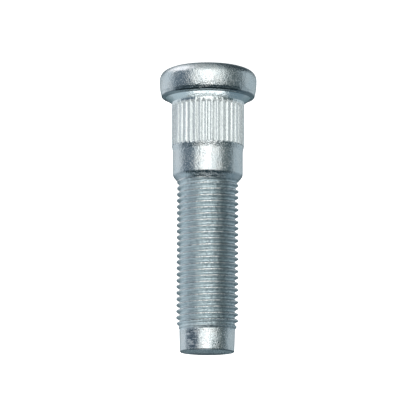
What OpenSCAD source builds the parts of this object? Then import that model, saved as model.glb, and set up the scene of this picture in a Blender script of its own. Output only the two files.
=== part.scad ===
// Axle stud: one cold-headed steel piece with a round head, a straight knurl
// that presses into a hub flange, a plain shoulder, a rolled thread and a dog point.
// It stands on the flat of its head, with the axis on Z and the point upwards.

/* [Head] */
// Diameter of the head at its widest
head_d = 20; // [19:0.1:24]
// Height of the head, from its top face to the seat that bears on the flange
head_h = 6.15; // [5.8:0.05:9]
// Radius of the soft outer part of the top face
crown_r = 4.9; // [3:0.1:6]
// Angle that the soft outer part of the top face turns through
crown_angle = 30; // [10:1:40]
// Radius of the corner between the top face and the side wall
head_corner_r = 2.1; // [1:0.1:2.6]
// Radius that draws the side wall in towards the seat
head_wall_r = 10; // [6:0.1:10.5]
// Angle that the side wall turns in by
head_wall_angle = 16; // [5:1:16]
// Radius of the rim between the side wall and the seat
head_rim_r = 0.5; // [0.2:0.05:0.8]
// Width of the flat ring of the seat, at the edge of the underside
seat_ring_w = 0.2; // [0.1:0.05:0.4]
// Slope of the tapered underside, from the axis
under_angle = 54; // [40:1:60]
// Radius of the fillet between the tapered underside and the knurl
under_fillet_r = 0.1; // [0.05:0.05:0.4]

/* [Knurl] */
// Diameter over the crests of the knurl
knurl_d = 15; // [14.7:0.05:15.6]
// Number of straight teeth round the knurl
knurl_teeth = 40; // [24:1:48]
// Plain length between the fillet under the head and the grooves
knurl_gap = 0.4; // [0.05:0.05:1]
// Length of the knurl over which the teeth have their full height
knurl_l = 8.35; // [5:0.05:14]
// Height of a tooth above the floor of the grooves
tooth_h = 0.28; // [0.1:0.01:0.5]
// Width of a tooth at its crest
crest_w = 0.2; // [0.1:0.05:0.35]
// Width of a tooth at its foot
foot_w = 0.8; // [0.4:0.05:0.9]
// Length of the ramp in which a groove starts under the head
groove_ramp_l = 0.5; // [0.2:0.1:1]
// Length over which the teeth fall to the shoulder
tooth_taper_l = 1.45; // [0.6:0.05:2.5]

/* [Shoulder] */
// Diameter of the plain shoulder beyond the knurl
shoulder_d = 14.4; // [13.9:0.05:14.5]
// Plain length of the shoulder, up to its chamfer
shoulder_l = 5; // [2:0.1:9]
// Slope of the chamfer down to the thread, from the axis
chamfer_angle = 40; // [30:1:50]
// Radius that rounds the edge of the chamfer
chamfer_edge_r = 1.2; // [0.3:0.1:1.6]

/* [Thread] */
// Diameter over the crests of the rolled thread
thread_d = 12.7; // [12.4:0.05:13.2]
// Diameter of the plain neck on both sides of the thread
thread_neck_d = 12; // [11.6:0.05:12.2]
// Length of the plain neck between the chamfer and the thread
thread_neck_l = 0.5; // [0.2:0.1:3]
// Length of the thread, with its chamfered ends
thread_l = 30; // [15:0.5:60]
// Length of the chamfer at each end of the thread
thread_lead_l = 0.6; // [0.3:0.1:1.5]

/* [Dog point] */
// Diameter of the dog point where it leaves the thread
dog_d = 11.35; // [10:0.05:11.5]
// Diameter of the dog point at its end
dog_tip_d = 11.1; // [9.5:0.05:11.3]
// Length of the dog point
dog_l = 4.4; // [2:0.05:8]
// Radius round the end face of the dog point
dog_edge_r = 0.2; // [0.1:0.05:0.8]

/* [Hidden] */
zinc = [0.74, 0.78, 0.80];
$fn = 64;

// Largest turn between two points of an arc
arc_step = 7.5;
// Small overrun that carries a cutter past the face it cuts
over = 0.5;
// Smaller one, for a ramp that starts close to the underside of the head
ramp_over = 0.04;

head_r = head_d / 2;
knurl_r = knurl_d / 2;
shoulder_r = shoulder_d / 2;
thread_r = thread_d / 2;
thread_neck_r = thread_neck_d / 2;
dog_r = dog_d / 2;
dog_tip_r = dog_tip_d / 2;

// Centres of the arcs of the head, as [distance from the axis, height]
corner_c = [head_r - head_corner_r,
    crown_r - (crown_r - head_corner_r) * cos(crown_angle)];
crown_c = [corner_c[0] - (crown_r - head_corner_r) * sin(crown_angle), crown_r];
rim_c = [head_r - head_wall_r + (head_wall_r - head_rim_r) * cos(head_wall_angle),
    head_h - head_rim_r];
wall_c = [head_r - head_wall_r,
    rim_c[1] - (head_wall_r - head_rim_r) * sin(head_wall_angle)];
// Width of the tapered underside, inside the flat ring, and its fillet at the knurl
under_w = rim_c[0] - seat_ring_w - knurl_r;
fillet_r = min(under_fillet_r, under_w);
fillet_c = [knurl_r + fillet_r,
    head_h + under_w / tan(under_angle) + fillet_r * tan(under_angle / 2)];

// Heights along the axis, from the head to the point
knurl_z = fillet_c[1] + knurl_gap;
taper_z = knurl_z + knurl_l;
shoulder_z = taper_z + tooth_taper_l;
chamfer_z = shoulder_z + shoulder_l;
chamfer_end_z = chamfer_z + (shoulder_r - thread_neck_r) / tan(chamfer_angle);
thread_z = chamfer_end_z + thread_neck_l;
thread_end_z = thread_z + thread_l;
tip_z = thread_end_z + dog_l;

// Arc that rounds the edge between the shoulder and its chamfer
edge_c = [shoulder_r - chamfer_edge_r,
    chamfer_z - chamfer_edge_r * tan(chamfer_angle / 2)];
// Arc that rounds the end of the dog point
tip_c = [dog_tip_r - dog_edge_r, tip_z - dog_edge_r];

function arc(c, r, from, to) =
    let (steps = ceil(abs(to - from) / arc_step))
    [for (i = [0 : steps])
        let (a = from + (to - from) * i / steps)
        [c[0] + r * cos(a), c[1] + r * sin(a)]];

// Half section of the head, with its flat top face, soft corners and seat
function head_outline() = concat(
    [[0, 0]],
    arc(crown_c, crown_r, -90, crown_angle - 90),
    arc(corner_c, head_corner_r, crown_angle - 90, 0),
    arc(wall_c, head_wall_r, 0, head_wall_angle),
    arc(rim_c, head_rim_r, head_wall_angle, 90));

// Half section of the tapered underside, the knurl's crests and the shoulder
function body_outline() = concat(
    [[knurl_r + under_w, head_h]],
    arc(fillet_c, fillet_r, 180 + under_angle, 180),
    [[knurl_r, taper_z], [shoulder_r, shoulder_z]],
    arc(edge_c, chamfer_edge_r, 0, chamfer_angle),
    [[thread_neck_r, chamfer_end_z]]);

// Half section of the threaded length, at the diameter of the thread's crests
function thread_outline() = [
    [thread_neck_r, thread_z],
    [thread_r, thread_z + thread_lead_l],
    [thread_r, thread_end_z - thread_lead_l],
    [dog_r, thread_end_z]];

// Half section of the dog point
function dog_outline() = concat(
    arc(tip_c, dog_edge_r, 0, 90),
    [[0, tip_z]]);

function polar(r, a) = [r * cos(a), r * sin(a)];

// Section across one groove, between two teeth, carried out past the crests
module groove_section() {
    half_pitch = 180 / knurl_teeth;
    floor_r = knurl_r - tooth_h;
    floor_a = half_pitch - foot_w / 2 / floor_r * 180 / PI;
    open_a = half_pitch - crest_w / 2 / knurl_r * 180 / PI;
    reach = 1 + over / tooth_h;
    polygon([for (side = [-1, 1], far = side < 0 ? [0, 1] : [1, 0])
        polar(floor_r, side * floor_a) * (1 - far * reach)
        + polar(knurl_r, side * open_a) * far * reach]);
}

// Straight grooves between the teeth, from a ramp under the head to the shoulder
module knurl_grooves() {
    floor_r = knurl_r - tooth_h;
    outer_r = knurl_r + over;
    ramp_z = knurl_z + groove_ramp_l;
    slope = groove_ramp_l / tooth_h;
    start_z = knurl_z - slope * ramp_over;
    intersection() {
        rotate_extrude()
            polygon([
                [floor_r - over, shoulder_z],
                [floor_r - over, ramp_z],
                [floor_r, ramp_z],
                [knurl_r + ramp_over, start_z],
                [outer_r, start_z],
                [outer_r, shoulder_z]]);
        translate([0, 0, start_z])
            linear_extrude(shoulder_z - start_z + over)
                for (i = [0 : knurl_teeth - 1])
                    rotate(360 * (i + 0.5) / knurl_teeth)
                        groove_section();
    }
}

module stud() {
    color(zinc)
        difference() {
            rotate_extrude()
                polygon(concat(head_outline(), body_outline(), thread_outline(), dog_outline()));
            knurl_grooves();
        }
}

stud();
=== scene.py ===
import random
from math import atan2, ceil, cos, hypot, pi, radians, sin, tan

import bmesh
import bpy
from mathutils import Matrix, Vector, noise


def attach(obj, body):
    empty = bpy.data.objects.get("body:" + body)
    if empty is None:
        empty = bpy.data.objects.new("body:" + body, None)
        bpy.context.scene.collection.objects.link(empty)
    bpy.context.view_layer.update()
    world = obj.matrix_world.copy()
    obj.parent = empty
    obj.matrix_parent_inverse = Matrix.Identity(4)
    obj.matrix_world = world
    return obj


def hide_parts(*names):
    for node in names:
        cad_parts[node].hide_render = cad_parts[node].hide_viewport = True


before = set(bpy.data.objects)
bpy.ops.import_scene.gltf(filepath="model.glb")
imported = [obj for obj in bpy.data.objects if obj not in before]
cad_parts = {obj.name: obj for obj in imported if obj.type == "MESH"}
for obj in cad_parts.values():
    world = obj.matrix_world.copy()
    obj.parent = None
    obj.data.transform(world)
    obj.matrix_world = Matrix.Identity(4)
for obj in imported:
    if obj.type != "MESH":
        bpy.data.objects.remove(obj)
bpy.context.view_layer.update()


# Cold-headed head
# The stud is one piece of steel wire, upset at one end into a round head with a flat
# top face, soft corners and a narrow seat that bears on the flange. Sizes are in mm,
# and the whole stud is shaped in one mesh, turned about its own axis.
axis = Vector((0, 0, 1))
origin = Vector((0, 0, 0))
weld = 0.0005
near_axis = 0.001

head_r = 10.0
head_h = 6.15
crown_r = 4.9
crown_angle = radians(30)
head_corner_r = 2.1
head_wall_r = 10.0
head_wall_angle = radians(16)
head_rim_r = 0.5
seat_ring_w = 0.2
under_angle = radians(54)
under_fillet_r = 0.03
knurl_r = 7.5

# Rows of points close to a bend keep the flat beside it flat
bend_row = 0.15
fillet_row = 0.05
# Share of the way in from the seat, and how far the underside swells beyond a straight taper
under_swell = ((0.06, 0.015), (0.2, 0.035), (0.45, 0.04), (0.7, 0.028), (0.94, 0.006))


def arc(centre, radius, start, end, step=radians(9)):
    """Points (distance from the axis, height) along an arc, from start to end, in radians."""
    count = max(2, ceil(abs(end - start) / step))
    turn = (end - start) / count
    return [(centre[0] + radius * cos(start + turn * i), centre[1] + radius * sin(start + turn * i))
            for i in range(count + 1)]


def turned(outline, steps, wedges, lead=0.0):
    """Spins an outline of (distance from the axis, height) points into one wedge, and then
    repeats the wedge around the axis. A lead makes it a screw."""
    form = bmesh.new()
    points = [form.verts.new((r, 0, z)) for r, z in outline]
    lines = [form.edges.new(pair) for pair in zip(points, points[1:])]
    bmesh.ops.spin(form, geom=points + lines, cent=origin, axis=axis, angle=2 * pi / wedges,
                   steps=steps // wedges, dvec=(0, 0, lead / steps))
    wedge = form.verts[:] + form.edges[:] + form.faces[:]
    bmesh.ops.spin(form, geom=wedge, cent=origin, axis=axis, angle=2 * pi * (wedges - 1) / wedges,
                   steps=wedges - 1, dvec=(0, 0, lead / wedges), use_duplicate=True)
    bmesh.ops.remove_doubles(form, verts=form.verts, dist=weld)
    return form


corner_c = (head_r - head_corner_r, crown_r - (crown_r - head_corner_r) * cos(crown_angle))
crown_c = (corner_c[0] - (crown_r - head_corner_r) * sin(crown_angle), crown_r)
rim_c = (head_r - head_wall_r + (head_wall_r - head_rim_r) * cos(head_wall_angle), head_h - head_rim_r)
wall_c = (head_r - head_wall_r, rim_c[1] - (head_wall_r - head_rim_r) * sin(head_wall_angle))
under_w = rim_c[0] - seat_ring_w - knurl_r
fillet_c = (knurl_r + under_fillet_r,
            head_h + under_w / tan(under_angle) + under_fillet_r * tan(under_angle / 2))

head_outline = [(0, 0), (crown_c[0] * 0.5, 0), (crown_c[0] - bend_row, 0)]
head_outline += arc(crown_c, crown_r, -pi / 2, crown_angle - pi / 2)
head_outline += arc(corner_c, head_corner_r, crown_angle - pi / 2, 0)[1:]
head_outline += arc(wall_c, head_wall_r, 0, head_wall_angle, radians(4))
head_outline += arc(rim_c, head_rim_r, head_wall_angle, pi / 2)[1:]
head_outline += [(knurl_r + under_w, head_h)]
head_outline += [(knurl_r + under_w * (1 - share), head_h + under_w * share / tan(under_angle) + swell)
                 for share, swell in under_swell]
head_outline += arc(fillet_c, under_fillet_r, pi + under_angle, pi, radians(18))
head_outline += [(knurl_r, fillet_c[1] + fillet_row)]


# Straight knurl
# Forty teeth are rolled lengthwise into the blank. Each is a narrow ridge with a soft
# crest, and the hollow between two of them starts in a ramp under the head. The rolling
# is a little uneven, so the teeth differ in height, place and end.
teeth = 40
tooth_h = 0.28
knurl_z = 7.76
ramp_l = 0.34
groove_end_z = 16.5
groove_end_l = 0.26
taper_z = 16.0
shoulder_r = 7.2
shoulder_z = 17.45
knurl_end_z = shoulder_z + 0.2

# Shares of the pitch at which each tooth has a column of points, and the drop below the
# crest at a share of the pitch away from it
tooth_columns = (0, 0.09, 0.13, 0.3, 0.34, 0.4, 0.5, 0.6, 0.66, 0.7, 0.87, 0.91)
tooth_form = ((0, 0), (0.09, 0.004), (0.13, 0.03), (0.3, 0.245), (0.34, 0.27), (0.4, 0.278), (0.5, tooth_h))
columns_per_tooth = len(tooth_columns)
columns = teeth * columns_per_tooth
knurl_heights = (knurl_z, 7.82, 7.88, 7.95, 8.02, 8.1, 8.2, 8.5, 10, 12, 14, 15.3, 15.75,
                 taper_z, 16.12, 16.22, 16.32, 16.42, 16.52, 16.62, 16.72, 16.85, 17.0, 17.2, 17.38, 17.6)

# Lengths over which a tooth turns into its own place and back
turn_in_l = 0.4
turn_out_l = 0.6
rolling = random.Random(4)
tooth_size = [rolling.uniform(0.94, 1.06) for _ in range(teeth)]
tooth_turn = [radians(rolling.uniform(-0.22, 0.22)) for _ in range(teeth)]
tooth_end = [rolling.uniform(-0.12, 0.12) for _ in range(teeth)]

knurl_outline = [(knurl_r, z) for z in knurl_heights]


def between(place, stations):
    """Straight-line value at a place among (place, value) stations."""
    for (place_0, value_0), (place_1, value_1) in zip(stations, stations[1:]):
        if place <= place_1:
            return value_0 + (value_1 - value_0) * max(0, place - place_0) / (place_1 - place_0)
    return stations[-1][1]


def knurled_radius(z, spread, tooth):
    """Distance from the axis on a tooth, at a height and a share of the pitch."""
    end = tooth_end[tooth]
    hollow = between(min(spread, 1 - spread), tooth_form) * tooth_size[tooth]
    ramp_in = max(0, z - knurl_z) / ramp_l * tooth_h
    ramp_out = max(0, groove_end_z + end - z) / groove_end_l * tooth_h
    fall = max(0, z - (taper_z + end)) * (knurl_r - shoulder_r) / (shoulder_z - taper_z)
    return max(shoulder_r, knurl_r - max(min(hollow, ramp_in, ramp_out), fall))


# Plain shoulder
# A short smooth cylinder beyond the knurl, with a rounded chamfer that leads down to
# the smaller blank of the thread. Head, knurl and shoulder are spun as one blank, and
# the teeth are then pressed into it.
chamfer_angle = radians(40)
edge_r = 1.2
chamfer_z = 22.45
crest_r = 6.35
edge_c = (shoulder_r - edge_r, chamfer_z - edge_r * tan(chamfer_angle / 2))
chamfer_end_z = chamfer_z + (shoulder_r - crest_r) / tan(chamfer_angle)

shoulder_outline = [(shoulder_r, 18.2), (shoulder_r, 20), (shoulder_r, edge_c[1] - 0.3)]
shoulder_outline += arc(edge_c, edge_r, 0, chamfer_angle, radians(5))
shoulder_outline += [(crest_r + bend_row, chamfer_end_z - bend_row / tan(chamfer_angle))]
shoulder_outline += [(crest_r, chamfer_end_z)]

blank = turned(head_outline + knurl_outline[1:] + shoulder_outline, columns, teeth)

for point in blank.verts:
    radius = hypot(point.co.x, point.co.y)
    if radius < near_axis:
        continue
    column = round(atan2(point.co.y, point.co.x) % (2 * pi) / (2 * pi) * columns) % columns
    tooth, step = divmod(column, columns_per_tooth)
    spread = tooth_columns[step]
    near = tooth if spread <= 0.5 else (tooth + 1) % teeth
    angle = (tooth + spread) * 2 * pi / teeth
    z = point.co.z
    if knurl_z <= z <= knurl_end_z:
        angle += tooth_turn[near] * min(1, (z - knurl_z) / turn_in_l, max(0, (knurl_end_z - z) / turn_out_l))
        radius = knurled_radius(z, spread, near)
    point.co = (radius * cos(angle), radius * sin(angle), z)


# Rolled thread
# A right-hand 60 degree thread of 1.27 mm pitch, rolled between dies, so its crests and
# roots are soft. It fades into the neck at the shoulder and into the dog point at the tip.
pitch = 1.27
root_r = 5.64
crest_z_at_front = 25.95
front_angle = radians(-92.7)
thread_columns = 144
thread_wedges = 12
thread_start_z = chamfer_end_z + 0.02
thread_end_z = 54.3
dog_r = 5.68

# Height above a crest, and the drop below it, on the way to the root
flank = ((0, 0), (0.07, 0.003), (0.095, 0.012), (0.125, 0.05), (0.16, 0.11), (0.37, 0.53), (0.43, 0.63),
         (0.50, 0.69))
half_turn = [(z, crest_r - drop) for z, drop in flank] + [(pitch / 2, root_r)]
one_turn = half_turn + [(pitch - z, r) for z, r in half_turn[-2:0:-1]]

# The first groove starts shallow, and the last one runs out into the dog point
floor_r = ((thread_start_z, 6.2), (23.75, 6.0), (24.2, 5.84), (25.2, 5.74), (26.4, root_r), (53.2, root_r),
           (53.7, 5.86), (54.08, dog_r))
top_r = ((thread_start_z, 6.35), (23.9, 6.3), (24.5, 6.28), (25.1, 6.31), (25.6, crest_r), (52.5, crest_r),
         (53.7, 5.95), (54.08, dog_r))

# Shallow wear of the surface, and a slight waver of the ridges between the two ends
wear = 0.06
wear_from = -0.1
wear_scale = (2.3, 2.3, 2.6)
waver = 0.06
waver_scale = 1.3
waver_seed = 40
even_end_l = 0.3

crest_z_at_seam = crest_z_at_front - pitch * front_angle / (2 * pi)
first_turn = int((thread_start_z - crest_z_at_seam) / pitch) - 2
turns = int((thread_end_z - thread_start_z) / pitch) + 4
thread_outline = [(r, crest_z_at_seam + (first_turn + turn) * pitch + z)
                  for turn in range(turns) for z, r in one_turn]
thread = turned(thread_outline, thread_columns, thread_wedges, pitch)
for cut_z, way in ((thread_start_z, -1), (thread_end_z, 1)):
    bmesh.ops.bisect_plane(thread, geom=thread.verts[:] + thread.edges[:] + thread.faces[:], dist=0.00001,
                           plane_co=(0, 0, cut_z), plane_no=axis * way, clear_outer=True)
for point in thread.verts:
    radius = hypot(point.co.x, point.co.y)
    floor = between(point.co.z, floor_r)
    wanted = floor + (between(point.co.z, top_r) - floor) * (radius - root_r) / (crest_r - root_r)
    worn = noise.noise(Vector([value * scale for value, scale in zip(point.co, wear_scale)]))
    wanted -= wear * max(0, worn - wear_from)
    point.co.x *= wanted / radius
    point.co.y *= wanted / radius
    if thread_start_z + even_end_l < point.co.z < thread_end_z - even_end_l:
        x, y, z = (value * waver_scale for value in point.co)
        point.co.z += waver * noise.noise(Vector((x, y, z + waver_seed)))


# Dog point
# The plain pilot at the tip guides the nut on. It narrows a little towards its end,
# which is sheared square and rounded over by the rolling. Blank, thread and dog point
# are then joined into one closed skin and brought from mm to metres.
MM = 0.001
dog_tip_r = 5.55
dog_edge_r = 0.28
tip_z = 58.77
dog_start_z = thread_end_z + 0.12
dog_columns = 160
dog_wedges = 8
face_dome = 0.1
dome_r = 5.35
same_level = 0.003

# Two faint turned rings beside the thread and the start of the taper, as (height, and
# how far the surface has come in from the dog point's start)
dog_rings = ((54.84, 0.01), (54.92, 0.035), (55.0, 0.01), (55.12, 0.015), (55.2, 0.04), (55.28, 0.02),
             (56.8, 0.07))
dog_outline = [(dog_r, dog_start_z)]
dog_outline += [(dog_r - drop, z) for z, drop in dog_rings]
dog_outline += [(dog_tip_r + 0.01, 58.3)]
dog_outline += arc((dog_tip_r - dog_edge_r, tip_z - dog_edge_r), dog_edge_r, 0, pi / 2, radians(15))
dog_outline += [(r, tip_z + face_dome * (1 - (r / dome_r) ** 2)) for r in (5.1, 4.5, 3.5, 2.5, 1.2, 0)]
dog = turned(dog_outline, dog_columns, dog_wedges)

stud = bmesh.new()
stud_mesh = bpy.data.meshes.new("plated_stud")
for form in (blank, thread, dog):
    form.to_mesh(stud_mesh)
    form.free()
    stud.from_mesh(stud_mesh)


def open_ring(height):
    """The open edges that lie at one height."""
    return [line for line in stud.edges if line.is_boundary
            and all(abs(point.co.z - height) < same_level for point in line.verts)]


for low, high in ((chamfer_end_z, thread_start_z), (thread_end_z, dog_start_z)):
    bmesh.ops.bridge_loops(stud, edges=open_ring(low) + open_ring(high))
bmesh.ops.triangulate(stud, faces=[face for face in stud.faces if len(face.verts) > 4])
bmesh.ops.recalc_face_normals(stud, faces=stud.faces)
bmesh.ops.scale(stud, vec=(MM, MM, MM), verts=stud.verts)
open_edges = sum(line.is_boundary or not line.is_manifold for line in stud.edges)
print("open edges", open_edges, "volume mm3", stud.calc_volume(signed=True) / MM ** 3,
      "triangles", sum(len(face.verts) - 2 for face in stud.faces))

stud.to_mesh(stud_mesh)
stud.free()
stud_mesh.shade_smooth()
plated_stud = bpy.data.objects.new("plated_stud", stud_mesh)
bpy.context.scene.collection.objects.link(plated_stud)


# Zinc plating
# Clear zinc over the formed steel: a bright, faintly blue metal with a fine grain. It is
# smoother on the edges of the head, whiter on the knurl, hazy and mottled in the thread,
# and scuffed on the dog point. Painted shade lies on one side of the thread, on its flanks,
# on a patch of the dog point, along the seat and round the end face, with painted light on
# the thread's other side and a painted highlight on its crests.
DEGREE = radians(1)

zinc = bpy.data.materials.new("zinc_plating")
zinc.use_nodes = True
tree = zinc.node_tree
tree.nodes.clear()


def node(tree, kind, inputs=None, **settings):
    """Adds a node, sets its properties, and sets or links its inputs."""
    made = tree.nodes.new(kind)
    for name, value in settings.items():
        setattr(made, name, value)
    for name, value in (inputs or {}).items():
        socket = made.inputs[name]
        if isinstance(value, bpy.types.NodeSocket):
            tree.links.new(value, socket)
        else:
            socket.default_value = value
    return made


def maths(kind, *values):
    """A maths node in the tree that is being built, and its result."""
    return node(tree, "ShaderNodeMath", dict(enumerate(values)), operation=kind).outputs[0]


def chain(kind, values):
    """The same maths over two or more values, from the first to the last."""
    total = values[0]
    for value in values[1:]:
        total = maths(kind, total, value)
    return total


def product(*values):
    """The product of two or more values."""
    return chain("MULTIPLY", values)


def largest(*values):
    """The largest of two or more values."""
    return chain("MAXIMUM", values)


def ramp(value, low, high, unit=1):
    """0 at one place and beyond, 1 at another and beyond, and a soft rise between them."""
    limits = {"Value": value, "From Min": low * unit, "From Max": high * unit}
    return node(tree, "ShaderNodeMapRange", limits, interpolation_type="SMOOTHSTEP").outputs["Result"]


def band(value, rise, fall, unit=1):
    """1 between a soft rise and a soft fall, each a pair of places, and 0 outside them."""
    return product(ramp(value, rise[0], rise[1], unit), ramp(value, fall[1], fall[0], unit))


def blend(share, first, second):
    """Mixes two colours, or a colour and a socket, by a share from 0 to 1."""
    made = node(tree, "ShaderNodeMix", {"Factor": share}, data_type="RGBA")
    for socket, value in ((made.inputs[6], first), (made.inputs[7], second)):
        if isinstance(value, bpy.types.NodeSocket):
            tree.links.new(value, socket)
        else:
            socket.default_value = (*value, 1)
    return made.outputs[2]


def speckle(where, scale, detail, roughness=0.5):
    """A noise pattern from 0 to 1."""
    pattern = {"Vector": where, "Scale": scale, "Detail": detail, "Roughness": roughness}
    return node(tree, "ShaderNodeTexNoise", pattern).outputs["Fac"]


place = node(tree, "ShaderNodeTexCoord").outputs["Object"]
axes = node(tree, "ShaderNodeSeparateXYZ", {"Vector": place}).outputs
along = axes["Z"]
radius = maths("SQRT", maths("ADD", product(axes["X"], axes["X"]), product(axes["Y"], axes["Y"])))
angle = maths("ARCTAN2", axes["Y"], axes["X"])

# Where the thread and the knurl are, and how deep a point lies below their crests
on_thread = band(along, (23.2, 23.6), (54.2, 54.5), MM)
thread_deep = product(on_thread, ramp(radius, 6.28, 6.14, MM))
# The thread's crests, which get a lighter, warmer colour as a painted highlight
painted_crest_highlight = product(on_thread, ramp(radius, 6.24, 6.34, MM))
on_knurl = band(along, (7.6, 7.7), (16.1, 16.3), MM)
knurl_deep = product(on_knurl, ramp(radius, 7.47, 7.38, MM))

# Smoother places: the head's lower edge, its underside, the chamfer of the shoulder, and
# the far part of the end face, which is also darker with painted shade
rim = band(along, (5.0, 5.5), (6.4, 6.8), MM)
under = band(along, (6.0, 6.2), (7.6, 7.8), MM)
chamfer = band(along, (21.7, 22.0), (23.5, 23.8), MM)
far_face_painted_shade = product(ramp(axes["Y"], 0.6, 2.6, MM), ramp(along, 58.6, 58.7, MM),
                   ramp(maths("ABSOLUTE", axes["X"]), 4.2, 2.4, MM))
smooth = largest(product(rim, 0.8), product(under, 0.5), product(chamfer, 0.2), far_face_painted_shade)
grainy = maths("SUBTRACT", 1.0, smooth)

# Painted shade: dark lines along the edge of the seat and round the end face
painted_seat_shade = band(along, (5.6, 5.8), (6.20, 6.34), MM)
painted_end_shade = product(ramp(along, 58.46, 58.56, MM), ramp(radius, 5.2, 5.3, MM))
painted_shade_lines = largest(painted_seat_shade, painted_end_shade)

# Fine light specks, and slow changes between two tones of zinc
specks = speckle(place, 4200.0, 3.0, 0.6)
speck = product(ramp(specks, 0.545, 0.65), grainy)
patchy = ramp(speckle(place, 420.0, 3.0), 0.35, 0.65)

# One side of the thread gets painted light, with fewer stains and dark lines and a hazier finish, and the
# side next to it gets painted shade
painted_light_hazy_side = band(angle, (-90, -76), (-38, -15), DEGREE)
painted_shade_side = band(angle, (-179, -152), (-118, -100), DEGREE)
painted_shade_thread = product(painted_shade_side, on_thread)
off_painted_light_side = maths("SUBTRACT", 1.0, product(painted_light_hazy_side, 0.6))

# Stains and light flecks drawn out along the ridges of the thread
along_ridge = node(tree, "ShaderNodeCombineXYZ", {"X": product(angle, 11.0), "Z": product(along, 3400.0)})
mottle = speckle(along_ridge.outputs[0], 1.0, 4.0, 0.7)
stain = product(on_thread, ramp(mottle, 0.52, 0.42), off_painted_light_side)
fleck = product(on_thread, ramp(mottle, 0.55, 0.64))

# Painted shade: a dark line on both flanks of the thread, by the share of a pitch above the crest
turns_on = maths("DIVIDE", maths("SUBTRACT", angle, front_angle), 2 * pi)
pitches_up = maths("DIVIDE", maths("SUBTRACT", along, crest_z_at_front * MM), pitch * MM)
phase = maths("FRACT", maths("SUBTRACT", pitches_up, turns_on))
upper_flank_shade = band(phase, (0.10, 0.18), (0.30, 0.42))
lower_flank_shade = band(phase, (0.76, 0.82), (0.87, 0.93))
painted_flank_shade = product(on_thread, maths("ADD", upper_flank_shade, lower_flank_shade), off_painted_light_side)

# Scuffs on the dog point: light streaks along the turning on a patch of painted shade, a patch of
# dark marks, and one nick near the edge
nick_at = (-4.88, -2.63, 58.15)
on_dog = ramp(along, 54.6, 54.8, MM)
around = node(tree, "ShaderNodeCombineXYZ", {"X": product(angle, 2.6), "Z": product(along, 2300.0)})
streaks = speckle(around.outputs[0], 1.0, 2.0)
painted_shade_patch = product(band(angle, (-78, -70), (-47, -40), DEGREE), on_dog, ramp(along, 58.4, 58.1, MM))
scuff = product(ramp(streaks, 0.54, 0.60), painted_shade_patch)
marked_patch = product(band(angle, (-124, -118), (-106, -100), DEGREE), ramp(along, 56.6, 57.0, MM), on_dog)
from_nick = node(tree, "ShaderNodeVectorMath", {0: place, 1: [value * MM for value in nick_at]},
                 operation="DISTANCE")
marks = largest(product(ramp(specks, 0.52, 0.46), marked_patch),
                ramp(from_nick.outputs["Value"], 0.16, 0.08, MM))

# Colours laid over the zinc, from the first to the last: where, how strongly, and which
bright_zinc = (0.93, 0.95, 0.96)
# The colour of the dark marks, and of the painted shade lines
dark_marks_and_shade = (0.22, 0.27, 0.29)
layers = (
    (speck, 0.5, bright_zinc),
    (on_knurl, 1.0, (0.93, 0.98, 0.98)),
    (under, 1.0, (0.88, 0.92, 0.92)),
    (thread_deep, 1.0, (0.84, 0.95, 0.98)),
    (stain, 0.66, (0.30, 0.36, 0.40)),
    # painted shade on one side of the thread
    (painted_shade_thread, 0.3, (0.38, 0.45, 0.48)),
    # painted shade on the thread's flanks
    (painted_flank_shade, 0.48, (0.34, 0.37, 0.38)),
    (fleck, 0.8, (0.97, 0.98, 0.99)),
    # painted highlight on the thread's crests
    (painted_crest_highlight, 0.7, (0.95, 0.93, 0.91)),
    # painted shade on one side of the dog point
    (painted_shade_patch, 0.7, (0.27, 0.32, 0.37)),
    (scuff, 1.0, bright_zinc),
    (marks, 1.0, dark_marks_and_shade),
    # painted shade along the seat and round the end face
    (painted_shade_lines, 0.85, dark_marks_and_shade),
    # painted shade on the far part of the end face
    (far_face_painted_shade, 1.0, (0.35, 0.39, 0.41)),
)
colour = blend(patchy, (0.74, 0.79, 0.81), (0.80, 0.82, 0.82))
for where, strength, tone in layers:
    colour = blend(product(where, strength), colour, tone)

# Hollows, scuffs and specks are rougher, and the knurl and the thread's hollows less metallic
roughness = largest(maths("ADD", product(speck, 0.28), 0.11), product(knurl_deep, 0.32),
                    product(thread_deep, 0.31), product(scuff, 0.55), product(chamfer, 0.22))
haze = maths("ADD", 0.04, product(painted_light_hazy_side, 0.14))
dull = maths("ADD", product(on_knurl, 0.38), product(thread_deep, haze))
metallic = maths("SUBTRACT", 1.0, dull)

# Fine pits over slower lumps, which are stronger on the thread
grain = speckle(place, 3800.0, 3.0)
lumps = speckle(place, 1100.0, 2.0)
swell = product(lumps, maths("ADD", 1.0, product(on_thread, 0.9)), maths("SUBTRACT", 1.0, far_face_painted_shade))
pits = maths("ADD", product(grain, grainy), product(speck, 0.16))
pitted = node(tree, "ShaderNodeBump", {"Height": pits, "Strength": 1.0, "Distance": 0.06 * MM})
uneven = node(tree, "ShaderNodeBump", {"Height": swell, "Strength": 1.0, "Distance": 0.07 * MM,
                                       "Normal": pitted.outputs["Normal"]})
shader = node(tree, "ShaderNodeBsdfPrincipled", {"Base Color": colour, "Metallic": metallic,
                                                 "Roughness": roughness, "Normal": uneven.outputs["Normal"]})
node(tree, "ShaderNodeOutputMaterial", {"Surface": shader.outputs["BSDF"]})
stud_mesh.materials.append(zinc)
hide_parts("stud")
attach(plated_stud, "root")


# Studio
# A white floor, and a tent of soft light with a bright panel in front of the stud and
# darker ones beside it. The tent is the world, and the floor doesn't block it from the metal.
floor_half = 20
floor_mesh = bpy.data.meshes.new("floor")
floor_form = bmesh.new()
bmesh.ops.create_grid(floor_form, x_segments=1, y_segments=1, size=floor_half)
floor_form.to_mesh(floor_mesh)
floor_form.free()
floor = bpy.data.objects.new("floor", floor_mesh)
bpy.context.scene.collection.objects.link(floor)
floor.visible_glossy = False

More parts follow.
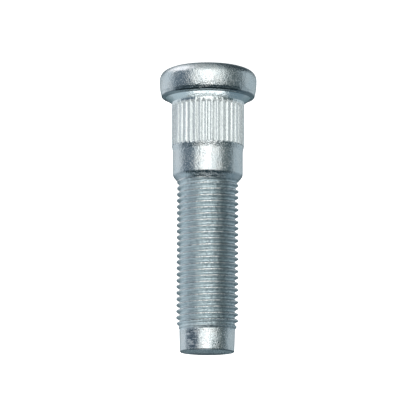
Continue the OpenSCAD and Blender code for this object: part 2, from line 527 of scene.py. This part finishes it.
paper = bpy.data.materials.new("white_paper")
paper.use_nodes = True
tree = paper.node_tree
tree.nodes.clear()
rays = node(tree, "ShaderNodeLightPath")
glow = node(tree, "ShaderNodeEmission", {"Color": (1, 1, 1, 1), "Strength": rays.outputs["Is Camera Ray"]})
matt = node(tree, "ShaderNodeBsdfDiffuse", {"Color": (0.6, 0.6, 0.6, 1)})
both = node(tree, "ShaderNodeAddShader", {0: glow.outputs[0], 1: matt.outputs[0]})
node(tree, "ShaderNodeOutputMaterial", {"Surface": both.outputs[0]})
floor_mesh.materials.append(paper)

world = bpy.data.worlds.new("light_tent")
bpy.context.scene.world = world
world.use_nodes = True
tree = world.node_tree
tree.nodes.clear()

# Bearing and height of a direction, in degrees and as the picture shows them: bearing 0
# is towards the camera, greater ones lie to the right, and greater heights lie nearer
# the head
camera_turn = radians(-2.7)
way = node(tree, "ShaderNodeTexCoord").outputs["Generated"]
turned_way = node(tree, "ShaderNodeMapping", {"Vector": way, "Rotation": (0, 0, -camera_turn)},
                  vector_type="POINT")
parts = node(tree, "ShaderNodeSeparateXYZ", {"Vector": turned_way.outputs[0]})
to_left = product(parts.outputs["X"], -1.0)
to_camera = product(parts.outputs["Y"], -1.0)
bearing = maths("DEGREES", maths("ARCTAN2", to_left, to_camera))
height = maths("DEGREES", maths("ARCSINE", product(parts.outputs["Z"], -1.0)))


def window(value, middle, half, soft, wrap):
    """1 inside a range of degrees, falling softly to 0 outside it."""
    offset = maths("SUBTRACT", value, middle)
    if wrap:
        offset = maths("WRAP", offset, 180.0, -180.0)
    return ramp(maths("ABSOLUTE", offset), half + soft, half - soft)


tent = (0.36, 0.42, 0.45, 1)
diffuse_tent = (1.1, 1.1, 1.1, 1)
backdrop = (1, 1, 1, 1)
panels = (
    # name, bearing, half width, height, half height, softness, colour
    ("left wall", -122, 30, 22, 30, 8, (0.65, 0.72, 0.77)),
    ("left wall low", -122, 30, -18, 12, 6, (0.34, 0.40, 0.45)),
    ("right wall", 125, 32, 15, 25, 8, (0.46, 0.54, 0.58)),
    ("right wall low", 125, 32, -18, 12, 6, (0.25, 0.31, 0.35)),
    ("back", 180, 28, -12, 16, 6, (0.17, 0.24, 0.27)),
    ("back top", 180, 40, 40, 25, 8, (0.16, 0.20, 0.22)),
    ("low left", -137, 47, -47, 17, 7, (0.43, 0.53, 0.59)),
    ("low right", 137, 47, -47, 17, 7, (0.165, 0.235, 0.28)),
    ("upper left", -144, 22, 54, 16, 6, (0.85, 0.90, 0.95)),
    ("ceiling", 0, 200, 80, 22, 6, (0.38, 0.42, 0.43)),
    ("dark ceiling", 120, 56, 52, 20, 6, (0.05, 0.07, 0.08)),
    ("left shade", -68, 26, 6, 28, 5, (0.145, 0.19, 0.235)),
    ("left top", -96, 38, 50, 16, 5, (1.25, 1.25, 1.30)),
    ("right shade", 54, 14, 10, 40, 4, (0.19, 0.225, 0.225)),
    ("right dark", 76, 11, 10, 40, 4, (0.08, 0.115, 0.13)),
    ("front glow", 1, 37, 46, 11, 6, (0.72, 0.77, 0.77)),
    ("front", 1, 36, 2, 33, 4, (1.40, 1.43, 1.40)),
    ("front left dip", -19, 3.5, 2, 33, 3, (0.82, 0.85, 0.85)),
    ("front right dip", 21, 6, 2, 33, 4, (0.62, 0.70, 0.71)),
    ("front middle", 0, 9, 1, 32, 4, (1.85, 1.85, 1.83)),
    ("below front", 0, 92, -47, 35, 5, (0.03, 0.05, 0.06)),
    ("table", 0, 200, -90, 14, 3, (1.5, 1.6, 1.63)),
    ("table back", 180, 84, -81, 14, 4, (1.5, 1.6, 1.63)),
    ("behind", 180, 24, 0, 4, 3, (0.03, 0.04, 0.05)),
)
colour = node(tree, "ShaderNodeRGB").outputs[0]
colour.default_value = tent
for name, middle, half, level, half_level, soft, tone in panels:
    across = window(bearing, middle, half, soft, True)
    up = window(height, level, half_level, soft, False)
    layer = node(tree, "ShaderNodeMix", {"Factor": product(across, up), "A": colour, "B": (*tone, 1)},
                 data_type="RGBA", label=name)
    colour = layer.outputs["Result"]

# Diffuse rays find an even tent, and the camera a white backdrop
rays = node(tree, "ShaderNodeLightPath")
plain = node(tree, "ShaderNodeMix", {"Factor": rays.outputs["Is Diffuse Ray"], "A": colour,
                                     "B": diffuse_tent}, data_type="RGBA")
seen = node(tree, "ShaderNodeMix", {"Factor": rays.outputs["Is Camera Ray"], "A": plain.outputs["Result"],
                                    "B": backdrop}, data_type="RGBA")
glow = node(tree, "ShaderNodeBackground", {"Color": seen.outputs["Result"], "Strength": 1.0})
node(tree, "ShaderNodeOutputWorld", {"Surface": glow.outputs[0]})


# Camera
# A long lens looks from the point's side, 9 degrees off square, and is rolled over so
# that the head is at the top of the picture.
distance = 580.0
elevation = radians(9.06)
pixels_per_mm = 4.88
picture = 416
middle_z = 29.37
middle_at = (207.68, 209.71)
roll = radians(180.228)

lens = bpy.data.cameras.new("long_lens")
lens.sensor_width = 36
lens.lens = pixels_per_mm * distance / picture * lens.sensor_width
lens.clip_end = 100
camera = bpy.data.objects.new("camera", lens)
bpy.context.scene.collection.objects.link(camera)
bpy.context.scene.camera = camera
facing = -pi / 2 + camera_turn
out = Vector((cos(elevation) * cos(facing), cos(elevation) * sin(facing), sin(elevation)))
turn = out.to_track_quat("Z", "Y").to_matrix() @ Matrix.Rotation(roll, 3, "Z")
off = Vector(((picture / 2 - middle_at[0]) / pixels_per_mm, (middle_at[1] - picture / 2) / pixels_per_mm, 0))
looked_at = Vector((0, 0, middle_z)) + turn @ off
camera.matrix_world = Matrix.Translation((looked_at + out * distance) * MM) @ turn.to_4x4()

bpy.context.scene.view_settings.view_transform = "Standard"
